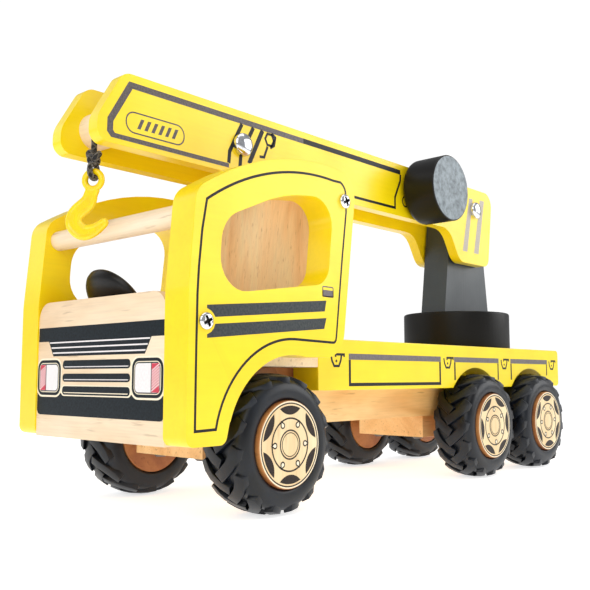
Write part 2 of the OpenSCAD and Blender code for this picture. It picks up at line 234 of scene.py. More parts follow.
YELLOW = paint("yellow_paint", srgb(255, 226, 4), srgb(248, 206, 0), 0.36, coat=0.3)
YELLOW_DECK = paint("yellow_bed_paint", srgb(255, 228, 8), srgb(249, 208, 2), 0.36, coat=0.3)
MAPLE = wood("maple", srgb(250, 230, 200), srgb(243, 217, 182), srgb(226, 190, 148), "X", fleck=0.5)
MAPLE_LONG = wood("maple_lengthwise", srgb(254, 220, 164), srgb(246, 204, 142), srgb(220, 164, 98), "Y",
    fleck=0.6)
MAPLE_UPRIGHT = wood("beech_upright", srgb(255, 228, 180), srgb(255, 212, 156), srgb(236, 172, 108), "Z",
    fleck=0.45, bands=34, pore_scale=1050)
HUB_FACE = wood("wheel_face", srgb(250, 228, 184), srgb(244, 216, 168), srgb(230, 194, 140), "Z", fleck=0.2)
# Dark brown wood for the wheel discs' sides; on the cab riser it is a painted shade.
HUB_RIM = wood("wheel_rim", srgb(190, 128, 72), srgb(160, 98, 52), srgb(120, 66, 34), "X")
BLACK = paint("black_paint", srgb(24, 23, 22), srgb(12, 9, 7), 0.36, "Z", 0, 0.5, 0.2)
# The tower's black paint made a lighter blue-grey: a painted sheen.
TOWER_BLACK_SHEEN = paint("black_tower_painted_sheen", srgb(50, 58, 62), srgb(34, 40, 44), 0.36, "Z", 0, 0.5, 0.6)
BLACK_GLOSS = paint("black_knob_paint", srgb(22, 21, 20), srgb(10, 8, 6), 0.34, "X", 0, 0.4, 0.26)
# The knob's black end face made light grey: a painted reflection of a lamp.
KNOB_END_SHEEN = plain("black_knob_end_painted_reflection", srgb(128, 140, 146), srgb(84, 94, 100), 0.4, 0.0, 300, 0.8)
RUBBER = rubber("rubber", srgb(8, 10, 15), srgb(28, 37, 50))
STEEL = plain("zinc_steel", (0.82, 0.82, 0.84), (0.62, 0.63, 0.66), 0.14, 1.0, 500, 0.05)
# Steel darkened for the screws and axles under the truck: a painted shade.
SHADED_STEEL = plain("steel_painted_shade", (0.2, 0.19, 0.18), (0.12, 0.12, 0.12), 0.45, 1.0, 500, 0.2)
INK = plain("printed_black", srgb(30, 32, 34), srgb(20, 22, 24), 0.42, 0.0, 900, 0.1, Specular_IOR_Level=0.25)
INK_GREY = plain("printed_grey", srgb(112, 104, 104), srgb(90, 84, 86), 0.42, 0.0, 900, 0.1)
# The black print at the boom's tip made a lighter grey: a painted sheen.
INK_TIP_SHEEN = plain("printed_black_tip_painted_sheen", srgb(98, 90, 88), srgb(66, 60, 60), 0.42, 0.0, 1100, 0.1)
# The tail bars' grey print made lighter: a painted sheen.
INK_TAIL_SHEEN = plain("printed_grey_tail_painted_sheen", srgb(186, 176, 160), srgb(166, 158, 148), 0.42, 0.0, 900, 0.1)
INK_BLUE = plain("printed_blue_black", srgb(16, 28, 36), srgb(8, 16, 20), 0.45, 0.0, 900, 0.1,
    Specular_IOR_Level=0.22)
INK_BROWN = plain("printed_brown_black", srgb(48, 36, 30), srgb(34, 26, 22), 0.45, 0.0, 1200, 0.1,
    Specular_IOR_Level=0.25)
INK_STRIPE = plain("printed_slate", srgb(62, 66, 66), srgb(34, 42, 46), 0.42, 0.0, 900, 0.3,
    Specular_IOR_Level=0.3)
INK_WHITE = plain("printed_white", srgb(244, 238, 236), srgb(232, 226, 226), 0.45, 0.0, 900, 0.05)
INK_CREAM = plain("printed_cream", srgb(252, 240, 214), srgb(246, 230, 198), 0.45, 0.0, 900, 0.05)
INK_RED = plain("printed_red", srgb(214, 62, 84), srgb(200, 48, 70), 0.45, 0.0, 900, 0.05)
PLASTIC = plain("black_plastic", srgb(20, 18, 16), srgb(12, 11, 10), 0.34, 0.0, 700, 0.15,
    Specular_IOR_Level=0.35)
HOOK_PLASTIC = plain("yellow_plastic", srgb(252, 220, 14), srgb(246, 206, 4), 0.26, 0.0, 200, 0.03,
    Subsurface_Weight=0.15, Subsurface_Scale=0.002, Coat_Weight=0.3)
# The cord's second colour is a painted highlight on the strand crests.
CORD = braid("braided_cord", srgb(8, 7, 6), srgb(96, 88, 78))

# ---------------------------------------------------------------- mesh helpers


def finish_mesh(name, bm, material, body, smooth_angle=35):
    """A piece from a bmesh: outward faces, smooth shading up to an angle, one material, riding on a body."""
    bmesh.ops.recalc_face_normals(bm, faces=bm.faces)
    mesh = bpy.data.meshes.new(name)
    bm.to_mesh(mesh)
    bm.free()
    for face in mesh.polygons:
        face.use_smooth = True
    mesh.set_sharp_from_angle(angle=math.radians(smooth_angle))
    mesh.materials.append(material)
    piece = bpy.data.objects.new(name, mesh)
    bpy.context.scene.collection.objects.link(piece)
    if body:
        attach(piece, body)
    return piece


def apply_modifiers(piece):
    evaluated = piece.evaluated_get(bpy.context.evaluated_depsgraph_get())
    mesh = bpy.data.meshes.new_from_object(evaluated)
    old = piece.data
    piece.modifiers.clear()
    piece.data = mesh
    bpy.data.meshes.remove(old)


def node_body(node):
    return next(b for b, nodes in frame["record"]["behaviour"]["bodies"].items() if node in nodes)


def softened(node, radius, material, segments=4):
    """The CAD node's own shape with its sharp edges rounded, standing for that node."""
    bm = bmesh.new()
    bm.from_mesh(frame["nodes"][node].data)
    bmesh.ops.remove_doubles(bm, verts=bm.verts, dist=2e-6)
    bmesh.ops.dissolve_limit(bm, angle_limit=math.radians(0.6), verts=bm.verts, edges=bm.edges)
    piece = finish_mesh("round_" + node, bm, material, None)
    bevel = piece.modifiers.new("edges", "BEVEL")
    bevel.width = radius * MM
    bevel.segments = segments
    bevel.limit_method = "ANGLE"
    bevel.angle_limit = math.radians(38)
    bevel.use_clamp_overlap = True
    weighted = piece.modifiers.new("normals", "WEIGHTED_NORMAL")
    weighted.keep_sharp = True
    apply_modifiers(piece)
    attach(piece, node_body(node))
    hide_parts(node)
    return piece


def carried(nodes, material):
    """CAD nodes whose shape is right as it is, given a finish."""
    for node in nodes:
        mesh = frame["nodes"][node].data
        mesh.materials.clear()
        mesh.materials.append(material)


def lathe(name, profile, centre, direction, material, body, segments=96, node=None):
    """Turns [along, radius] points, in mm, about a line through centre (mm) in a direction."""
    bm = bmesh.new()
    turn = Vector((0, 0, 1)).rotation_difference(Vector(direction)).to_matrix()
    rings = []
    for along, radius in profile:
        if radius == 0:
            rings.append([bm.verts.new((turn @ Vector((0, 0, along)) + Vector(centre)) * MM)])
            continue
        ring = []
        for step in range(segments):
            a = 2 * math.pi * step / segments
            point = turn @ Vector((radius * math.cos(a), radius * math.sin(a), along)) + Vector(centre)
            ring.append(bm.verts.new(point * MM))
        rings.append(ring)
    for low, high in zip(rings, rings[1:]):
        for i in range(segments):
            j = (i + 1) % segments
            if len(low) == 1:
                bm.faces.new((low[0], high[j], high[i]))
            elif len(high) == 1:
                bm.faces.new((low[i], low[j], high[0]))
            else:
                bm.faces.new((low[i], low[j], high[j], high[i]))
    piece = finish_mesh(name, bm, material, body)
    if node:
        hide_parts(node)
    return piece


def rounded_profile(points, steps=6):
    """[along, radius, rounding] corners as points, each corner turned into an arc."""
    made = []
    for i, (x, y, r) in enumerate(points):
        if r == 0 or i in (0, len(points) - 1):
            made.append((x, y))
            continue
        here = Vector((x, y))
        before = (Vector(points[i - 1][:2]) - here).normalized()
        after = (Vector(points[i + 1][:2]) - here).normalized()
        half = before.angle(after) / 2
        start, end = here + before * r / math.tan(half), here + after * r / math.tan(half)
        middle = here + (before + after).normalized() * r / math.sin(half)
        for step in range(steps + 1):
            t = step / steps
            spoke = (start - middle).lerp(end - middle, t)
            made.append(tuple(middle + spoke.normalized() * r))
    return made


def arc(y, z, r, start, end, steps=24):
    angles = [math.radians(start + (end - start) * i / steps) for i in range(steps + 1)]
    return [(y + r * math.cos(a), z + r * math.sin(a)) for a in angles]


def rounded_box(u0, v0, u1, v1, r, steps=6):
    corners = ((u1 - r, v1 - r, 0), (u0 + r, v1 - r, 90), (u0 + r, v0 + r, 180), (u1 - r, v0 + r, 270))
    return [p for u, v, a in corners for p in arc(u, v, r, a, a + 90, steps)]


def stroke(points, width, closed=False):
    """The band of a width along a line, as (outline, holes)."""
    n = len(points)
    left, right = [], []
    for i in range(n):
        here = Vector(points[i])
        before = here - Vector(points[i - 1]) if closed or i else Vector(points[1]) - here
        after = Vector(points[(i + 1) % n]) - here if closed or i < n - 1 else before
        if before.length < 1e-6 or after.length < 1e-6:
            continue
        a = before.normalized().orthogonal()
        b = after.normalized().orthogonal()
        side = (a + b).normalized()
        reach = width / 2 / max(side.dot(a), 0.35)
        left.append(tuple(here + side * reach))
        right.append(tuple(here - side * reach))
    if closed:
        size = [abs(sum(p[0] * q[1] - p[1] * q[0] for p, q in zip(s, s[1:] + s[:1]))) for s in (left, right)]
        return (left, [right]) if size[0] > size[1] else (right, [left])
    return (left + right[::-1], [])


INK_CLEARANCE = 0.012
INK_THICKNESS = 0.03
INK_STEP = 0.035


def printed(name, shapes, place, material, body, layer=0):
    """Ink on a surface: thin closed sheets of the shapes, each an outline or (outline, holes).

    place(u, v, height) says where a point of the print lies, and a higher layer lies over a lower one.
    """
    bm = bmesh.new()
    low = INK_CLEARANCE + INK_STEP * layer
    for shape in shapes:
        outline, holes = shape if isinstance(shape, tuple) else (shape, [])
        loops = [outline] + holes
        flat = [p for loop in loops for p in loop]
        triangles = tessellate_polygon([[Vector((u, v, 0)) for u, v in loop] for loop in loops])
        for height, flip in ((low, True), (low + INK_THICKNESS, False)):
            verts = [bm.verts.new(Vector(place(u, v, height)) * MM) for u, v in flat]
            for triangle in triangles:
                corners = [verts[i] for i in (reversed(triangle) if flip else triangle)]
                try:
                    bm.faces.new(corners)
                except ValueError:
                    pass
            if flip:
                under = verts
        first = 0
        for loop in loops:
            count = len(loop)
            for i in range(count):
                a, b = first + i, first + (i + 1) % count
                try:
                    bm.faces.new((under[a], under[b], verts[b], verts[a]))
                except ValueError:
                    pass
            first += count
    return finish_mesh(name, bm, material, body)


def tube(name, points, radius, material, body, sides=20, caps=True):
    """A round tube along points in mm, its coordinates running round it and, in diameters, along it."""
    bm = bmesh.new()
    uv = bm.loops.layers.uv.new("along")
    line = [Vector(p) for p in points]
    tangents = []
    for i in range(len(line)):
        tangents.append((line[min(i + 1, len(line) - 1)] - line[max(i - 1, 0)]).normalized())
    normal = Vector((1, 0, 0)) if abs(tangents[0].x) < 0.9 else Vector((0, 0, 1))
    normal = (normal - tangents[0] * normal.dot(tangents[0])).normalized()
    rings, distance, lengths = [], 0.0, []
    for i, (point, tangent) in enumerate(zip(line, tangents)):
        if i:
            normal = (tangents[i - 1].rotation_difference(tangent) @ normal).normalized()
            distance += (point - line[i - 1]).length
        other = tangent.cross(normal)
        size = radius[i] if hasattr(radius, "__len__") else radius
        ring = []
        for k in range(sides):
            a = 2 * math.pi * k / sides
            ring.append(bm.verts.new((point + size * (math.cos(a) * normal + math.sin(a) * other)) * MM))
        rings.append(ring)
        lengths.append(distance)
    thick = 2 * (radius[0] if hasattr(radius, "__len__") else radius)
    for i in range(len(rings) - 1):
        for k in range(sides):
            m = (k + 1) % sides
            face = bm.faces.new((rings[i][k], rings[i][m], rings[i + 1][m], rings[i + 1][k]))
            spots = ((k, i), (k + 1, i), (k + 1, i + 1), (k, i + 1))
            for loop, (u, v) in zip(face.loops, spots):
                loop[uv].uv = (u / sides, lengths[v] / thick)
    if caps:
        bm.faces.new(rings[0][::-1])
        bm.faces.new(rings[-1])
    return finish_mesh(name, bm, material, body, 60)


# ---------------------------------------------------------------- cord, knot and hook

CORD_R = 1.4
CORD_X = 3.9
TIP_Y, TIP_Z, TIP_R = -179.1, 183.4, 9
TURN_R = TIP_R + CORD_R + 0.1
DROP_Y = TIP_Y - TURN_R
WINCH_Y, WINCH_Z = 57, 188.5
WINCH_TOP = 195.1
SPINDLE_R = 5
EYE = Vector((CORD_X, DROP_Y, 155.2))
EYE_R = 4.15
HOOK_TURN = Matrix.Rotation(math.radians(32), 3, "Z")
KNOT_TOP = EYE.z + 13.8
KNOT_R, KNOT_DEPTH, KNOT_UP = 2.9, 1.5, 10.8
LOOP_R = 3.3


def at_eye(across, depth, up):
    """A point given from the middle of the hook's eye, in the hook's own turned plane."""
    return EYE + HOOK_TURN @ Vector((across, depth, up))


run = []
for step in range(41):
    t = step / 40
    run.append((CORD_X, WINCH_Y + t * (TIP_Y - WINCH_Y), WINCH_TOP + t * (TIP_Z + TURN_R - WINCH_TOP)))
wrap = [(CORD_X, TIP_Y - TURN_R * math.sin(math.radians(a)), TIP_Z + TURN_R * math.cos(math.radians(a)))
    for a in range(6, 91, 6)]
drop = [(CORD_X, DROP_Y, z) for z in (181, 178, 175, 172, KNOT_TOP + 1)]
route = run + wrap + drop
line = tube("hoist_line", route, CORD_R, CORD, None)
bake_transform(line)
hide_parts("hoist_cord", "cord_drop")

link_points = [(CORD_X, DROP_Y, KNOT_TOP + 2.6 - 0.15 * i) for i in range(40)]
line_end = tube("hoist_line_end", link_points, CORD_R * 0.97, CORD, None)
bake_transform(line_end)

# An overhand knot drawn tight, then the loop that holds the hook.
knot_points = []
for step in range(121):
    t = 2 * math.pi * step / 120
    across = (math.sin(t) + 2 * math.sin(2 * t)) / 3
    up = (math.cos(t) - 2 * math.cos(2 * t)) / 3
    depth = -math.sin(3 * t)
    knot_points.append(at_eye(across * KNOT_R, depth * KNOT_DEPTH, KNOT_UP + up * KNOT_R))
knot = tube("hoist_knot", knot_points, CORD_R * 1.02, CORD, "hook_block", 16, caps=False)
loop_points = []
for step in range(61):
    t = 2 * math.pi * step / 60
    stretch = 1.0 if math.cos(t) > 0 else 1.15
    up = EYE_R - LOOP_R * math.cos(t) * stretch
    loop_points.append(at_eye(0.35 * math.sin(t), LOOP_R * math.sin(t), up))
loop = tube("hook_loop", loop_points, CORD_R * 0.95, CORD, "hook_block", 16, caps=False)
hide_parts("cord_knot")

TURNS, TURN_STEPS = 3, 36
WOUND_START, WOUND_WIDTH = -5.1, 5.8
turns = []
for step in range(TURNS * TURN_STEPS + 1):
    a = 2 * math.pi * step / TURN_STEPS
    radius = SPINDLE_R + CORD_R
    across = WOUND_START + WOUND_WIDTH * step / (TURNS * TURN_STEPS)
    turns.append((across, WINCH_Y + radius * math.sin(a), WINCH_Z + radius * math.cos(a)))
winding = tube("winch_turns", turns, CORD_R * 0.98, CORD, "winch", 16)
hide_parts("cord_winding")

# The hook's middle line from its neck to its tip: across, up and half the width there.
HOOK_LINE = [(-0.1, -4, 3.6), (-1, -6.8, 3.4), (-2.6, -10.8, 4), (-8, -15.6, 4.1), (-8.8, -20.4, 4.3),
    (-4.6, -24.3, 4), (0.8, -23.6, 3.2), (5.8, -20.3, 2.3)]
HOOK_RIM_R, HOOK_EYE_RIM_R = 1.4, 1.5
HOOK_WEB_HALF = 1.05


def smooth_line(points, steps):
    """A curve through the points, each with any number of values."""
    made = []
    pts = [Vector(p) for p in points]
    for i in range(len(pts) - 1):
        a, b, c, d = pts[max(i - 1, 0)], pts[i], pts[i + 1], pts[min(i + 2, len(pts) - 1)]
        for step in range(steps):
            t = step / steps
            point = 2 * b + (c - a) * t
            point += (2 * a - 5 * b + 4 * c - d) * t * t
            point += (3 * b - a - 3 * c + d) * t ** 3
            made.append(0.5 * point)
    return made + [pts[-1]]


def hook_side(centre_line, inset):
    """The hook's outline moved in by an inset: down one side of its middle line, round the tip and back."""
    sides = ([], [])
    for i, p in enumerate(centre_line):
        q, s = centre_line[max(i - 1, 0)], centre_line[min(i + 1, len(centre_line) - 1)]
        way = Vector((s.x - q.x, s.y - q.y)).normalized()
        for side, sign in zip(sides, (1, -1)):
            side.append((p.x - sign * way.y * (p.z - inset), p.y + sign * way.x * (p.z - inset)))
    tip, before = centre_line[-1], centre_line[-2]
    heading = math.degrees(math.atan2(tip.y - before.y, tip.x - before.x))
    cap = arc(tip.x, tip.y, tip.z - inset, heading + 90, heading - 90, 10)
    return sides[0] + cap + sides[1][::-1]


def joined(pieces):
    """One bmesh with the faces of several pieces, which are removed."""
    bm = bmesh.new()
    for piece in pieces:
        bm.from_mesh(piece.data)
        bpy.data.objects.remove(piece)
    return bm


def make_hook():
    """A moulded hook: a thin web with a raised round rim, and a round eye, welded into one skin."""
    middle = smooth_line(HOOK_LINE, 6)
    pieces = []
    outline = hook_side(middle, 0.5)
    web = bmesh.new()
    flat = [Vector((u, v, 0)) for u, v in outline]
    triangles = tessellate_polygon([flat])
    layers = []
    for depth in (-HOOK_WEB_HALF, HOOK_WEB_HALF):
        layers.append([web.verts.new(at_eye(u, depth, v) * MM) for u, v in outline])
    for triangle in triangles:
        web.faces.new([layers[0][i] for i in triangle])
        web.faces.new([layers[1][i] for i in reversed(triangle)])
    for i in range(len(outline)):
        j = (i + 1) % len(outline)
        web.faces.new((layers[0][i], layers[0][j], layers[1][j], layers[1][i]))
    pieces.append(finish_mesh("hook_web", web, HOOK_PLASTIC, None))
    rim = [at_eye(u, 0, v) for u, v in hook_side(middle, HOOK_RIM_R)]
    pieces.append(tube("hook_rim", rim, HOOK_RIM_R, HOOK_PLASTIC, None, 14))
    round_eye = [math.radians(a) for a in range(0, 361, 10)]
    eye = [at_eye(EYE_R * math.sin(a), 0, EYE_R * math.cos(a)) for a in round_eye]
    pieces.append(tube("hook_eye", eye, HOOK_EYE_RIM_R, HOOK_PLASTIC, None, 16, caps=False))
    piece = finish_mesh("crane_hook", joined(pieces), HOOK_PLASTIC, None, 70)
    remesh = piece.modifiers.new("weld", "REMESH")
    remesh.mode = "VOXEL"
    remesh.voxel_size = 0.22 * MM
    remesh.use_smooth_shade = True
    relax = piece.modifiers.new("relax", "SMOOTH")
    relax.iterations = 3
    relax.factor = 0.5
    apply_modifiers(piece)
    piece.data.materials.clear()
    piece.data.materials.append(HOOK_PLASTIC)
    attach(piece, "hook")
    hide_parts("hook")
    return piece


hook = make_hook()

# ---------------------------------------------------------------- wooden boards

# Each board's CAD node, the radius of its rounded edges and its finish.
# The cab riser takes the dark brown wheel-rim wood as painted shade.
BOARDS = (("left_cab_side", 2.6, YELLOW), ("right_cab_side", 2.6, YELLOW),
    ("left_boom_board", 1.9, YELLOW), ("right_boom_board", 1.9, YELLOW),
    ("bed", 1.3, YELLOW_DECK), ("grille_board", 0.8, MAPLE), ("cab_rear_wall", 0.8, MAPLE_UPRIGHT),
    ("cab_floor", 0.6, MAPLE), ("cab_riser", 0.6, HUB_RIM), ("chassis_board", 0.8, MAPLE_LONG),
    ("front_axle_block", 0.8, MAPLE_LONG), ("rear_axle_block", 0.8, MAPLE_LONG), ("tower", 1.2, TOWER_BLACK_SHEEN))
for node, radius, material in BOARDS:
    softened(node, radius, material)
carried(("windscreen_rail", "tip_roller", "steering_stem"), MAPLE)
carried(("guide_spacer", "winch_spindle"), MAPLE)
carried(("turntable_bolt", "turntable_nut", "tower_screws"), STEEL)
carried(("guide_pin", "boom_pivot_pin", "pivot_washers"), STEEL)
# Painted shade: the screws and axles under the truck take the darkened steel.
carried(("axle_block_screws", "front_axle", "middle_axle", "rear_axle"), SHADED_STEEL)

# ---------------------------------------------------------------- turned parts

CAB_FACE, BOOM_FACE, BED_FACE, GRILLE_FACE = 66.7, 18.9, 51.4, -183.1


def drum(length, radius, foot_round, top_round, steps=6):
    """The profile of a short cylinder with its two edges rounded."""
    corners = [(0, 0, 0), (0, radius, foot_round), (length, radius, top_round), (length, 0, 0)]
    return rounded_profile(corners, steps)


def dome(foot, rise, radius, angles, fullness=1):
    """Profile points up a dome from its foot, at angles in degrees; a lower fullness makes it squarer."""
    turned = [math.radians(a) for a in angles]
    return [(foot + rise * math.sin(a), radius * math.cos(a) ** fullness) for a in turned]


low, high = (Vector(c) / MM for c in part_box("turntable_disc"))
middle = (low + high) / 2
disc_r = (high.x - low.x) / 2
lathe("turntable_turned", drum(high.z - low.z, disc_r, 1.2, 1.6), (middle.x, middle.y, low.z), (0, 0, 1),
    BLACK, "turntable", 128, "turntable_disc")

KNOB_R, KNOB_X, KNOB_LENGTH = 21.9, 20.3, 25
knob = lathe("winch_knob_turned", drum(KNOB_LENGTH, KNOB_R, 4.2, 0.8, 8), (KNOB_X, WINCH_Y, WINCH_Z),
    (1, 0, 0), BLACK_GLOSS, "winch", 128, "winch_knob")
# The flat end face takes the light grey painted reflection.
knob.data.materials.append(KNOB_END_SHEEN)
for face in knob.data.polygons:
    if face.normal.x > 0.999:
        face.material_index = 1
lathe("winch_cap_turned", drum(4, 9, 0.4, 1.4), (-19.3, WINCH_Y, WINCH_Z), (-1, 0, 0),
    PLASTIC, "winch", 64, "winch_end_cap")


def screw_head(name, centre, side, radius, height):
    """A pan-head screw with a cross recess, its head standing on the board."""
    rim = 0.7
    profile = [(-0.6, 0), (-0.6, radius - 0.3), (0.35, radius), (rim, radius)]
    profile += dome(rim, height - rim, radius, range(12, 84, 12), 0.6)
    head = lathe(name, profile + [(height, 0)], centre, (side, 0, 0), STEEL, None, 64)
    arms = bmesh.new()
    middle = Vector(centre) + Vector((side * height, 0, 0))
    for turn in (25, 115):
        tilt = Matrix.Rotation(math.radians(turn), 4, "X")
        size = Matrix.Diagonal((2.6, 1.35, radius * 1.3, 1))
        bmesh.ops.create_cube(arms, size=MM, matrix=Matrix.Translation(middle * MM) @ tilt @ size)
    cutter = finish_mesh(name + "_recess", arms, BLACK, None)
    cut = head.modifiers.new("recess", "BOOLEAN")
    cut.operation = "DIFFERENCE"
    cut.solver = "EXACT"
    cut.use_self = True
    cut.object = cutter
    apply_modifiers(head)
    bpy.data.objects.remove(cutter)
    head.data.materials.clear()
    head.data.materials.append(STEEL)
    # Painted shade: the faces inside the cross recess take the black paint.
    head.data.materials.append(BLACK)
    for face in head.data.polygons:
        spot = face.center / MM - middle
        if abs(spot.x) > 0.3 and Vector((0, spot.y, spot.z)).length < radius * 0.66 and side * spot.x > -1.5:
            face.material_index = 1
    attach(head, "chassis")
    return head


CAB_SCREWS = ((-174.6, 87.4), (-82.2, 153.2))
SCREW_R, SCREW_HEIGHT = 3.75, 2.0
heads = []
for side in (1, -1):
    for y, z in CAB_SCREWS:
        centre = (side * CAB_FACE, y, z)
        heads.append(screw_head(f"cab_screw_{len(heads)}", centre, side, SCREW_R, SCREW_HEIGHT))
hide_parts("cab_screws")

PINS = ((-109, 186.4), (133, 188.5))
CAP_R, CAP_RIM, CAP_RISE = 6.2, 1.8, 2.5
cap_profile = [(0, 0), (0, CAP_R), (CAP_RIM, CAP_R)] + dome(CAP_RIM, CAP_RISE, CAP_R, range(10, 90, 10))
cap_profile += [(CAP_RIM + CAP_RISE, 0)]
caps = []
for side in (-1, 1):
    for y, z in PINS:
        centre = (side * BOOM_FACE, y, z)
        caps.append(lathe(f"pin_cap_{len(caps)}", cap_profile, centre, (side, 0, 0), STEEL, "boom", 64))
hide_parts("pin_caps")

STEERING_LEAN = math.radians(52)
STEERING_R, STEERING_BOWL = 19.5, 7
steer_way = Vector((0, math.sin(STEERING_LEAN), math.cos(STEERING_LEAN)))
wheel_profile = [(-STEERING_BOWL, 0)]
for step in range(1, 10):
    a = math.radians(10 * step)
    wheel_profile.append((-STEERING_BOWL + STEERING_BOWL * (1 - math.cos(a)), STEERING_R * math.sin(a)))
wheel_profile += [(0.9, 19.1), (1.6, 18.2), (1.6, 0)]
lathe("steering_turned", wheel_profile, (-21, -158, 102), steer_way, PLASTIC, "steering", 96,
    "steering_wheel")

# ---------------------------------------------------------------- wheels

# Each axle's name, its place along the truck and how far its wheels are rolled, in degrees.
AXLES = (("front", -120, 0), ("middle", 73, -25), ("rear", 150, 3))
TYRE_MID = 49.75
TYRE_R = 33
LUGS = 15
LUG_FOOT_R = 27.4
# Half of the tyre's section, from the middle of the tread to the bead: along the axle, and out from it.
CARCASS = [(0, 30.2), (5, 30.5), (9, 30.4), (11, 29.6), (12.4, 28), (13.2, 25.4), (13.2, 22.8), (12.7, 21.2),
    (11.4, 20.4)]
# A lug's middle line: along the axle, and round the tread.
LUG_LINE = [(-1.8, -4.6), (2.6, -1.8), (7.2, 1.8), (9.4, 5.2), (11.3, 9.6)]


def about_axle(along, reach, angle):
    return Vector((along, reach * math.sin(angle), reach * math.cos(angle))) * MM


def tyre_carcass(steps=120):
    """The tyre's smooth body, about X at the origin."""
    bm = bmesh.new()
    section = [(-a, r) for a, r in CARCASS[:0:-1]] + CARCASS
    angles = [2 * math.pi * i / steps for i in range(steps)]
    rings = []
    for point in smooth_line([(a, r, 0) for a, r in section], 4):
        rings.append([bm.verts.new(about_axle(point.x, point.y, a)) for a in angles])
    for a, b in zip(rings, rings[1:] + rings[:1]):
        for i in range(steps):
            j = (i + 1) % steps
            bm.faces.new((a[i], a[j], b[j], b[i]))
    return bm


def add_lug(bm, side, turn):
    """One bent bar of tread on one side, from a foot inside the carcass to a narrower top."""
    foot, _ = stroke(LUG_LINE, 6.4)
    top, _ = stroke([(a * 0.985, b) for a, b in LUG_LINE], 5.2)
    loops = []
    for outline, widest, on_tread in ((foot, 12.6, False), (top, 12.1, True)):
        ring = []
        for across, along in outline:
            across = max(-3.8, min(across, widest))
            reach = TYRE_R - 0.0125 * across ** 2 if on_tread else LUG_FOOT_R
            ring.append(bm.verts.new(about_axle(side * across, reach, turn + along / 31)))
        loops.append(ring)
    low, high = loops
    points = len(low)
    for ring in loops:
        for i in range(points // 2 - 1):
            bm.faces.new((ring[i], ring[i + 1], ring[points - 2 - i], ring[points - 1 - i]))
    for i in range(points):
        j = (i + 1) % points
        bm.faces.new((low[i], low[j], high[j], high[i]))


def tyre_mesh():
    """A tractor tyre about X at the origin, its outer side +X: the carcass with lugs on each side."""
    bm = tyre_carcass()
    lugs = bmesh.new()
    for side in (-1, 1):
        for count in range(LUGS):
            add_lug(lugs, side, 2 * math.pi * (count + (0.5 if side < 0 else 0)) / LUGS)
    bmesh.ops.recalc_face_normals(lugs, faces=lugs.faces)
    edges = [e for e in lugs.edges if len(e.link_faces) == 2 and e.calc_face_angle() > math.radians(30)]
    bmesh.ops.bevel(lugs, geom=edges, offset=0.5 * MM, segments=2, profile=0.6, affect="EDGES",
        clamp_overlap=True)
    spare = bpy.data.meshes.new("lugs")
    lugs.to_mesh(spare)
    lugs.free()
    bmesh.ops.recalc_face_normals(bm, faces=bm.faces)
    bm.from_mesh(spare)
    bpy.data.meshes.remove(spare)
    mesh = bpy.data.meshes.new("tyre")
    bm.to_mesh(mesh)
    bm.free()
    for face in mesh.polygons:
        face.use_smooth = True
    mesh.set_sharp_from_angle(angle=math.radians(32))
    mesh.materials.append(RUBBER)
    return mesh


def turned_by(degrees):
    return Matrix.Rotation(math.radians(degrees), 2)


def teardrop(angle, radius, size):
    """A bolt's outline on the wheel face: round, with its point towards the outer ring."""
    points = arc(0, 0, size, 60, 300, 16) + [(size * 1.75, 0)]
    return [tuple(turned_by(angle) @ Vector((radius + u, v))) for u, v in points]


def lens(angle):
    """A wheel face cut-out: an outer arc that follows the rim and an inner one that bows towards the hub."""
    outer = arc(0, 0, 17.9, angle - 23, angle + 23, 14)
    bowed = arc(23.6, 0, 9.9, 137, 223, 14)
    inner = [tuple(turned_by(angle) @ Vector(p)) for p in bowed]
    return outer + [p for p in inner if math.hypot(*p) < 17.7]


TYRE_MESH = tyre_mesh()
WHEEL_DISC_R, WHEEL_BOSS_R = 20.4, 5.9
BOSS_X, DISC_X, FACE_X = 27, 37, 64.4
BOLT_RING_R = 10.2


def ring_line(radius, width):
    return stroke(arc(0, 0, radius, 0, 356, 89), width, True)


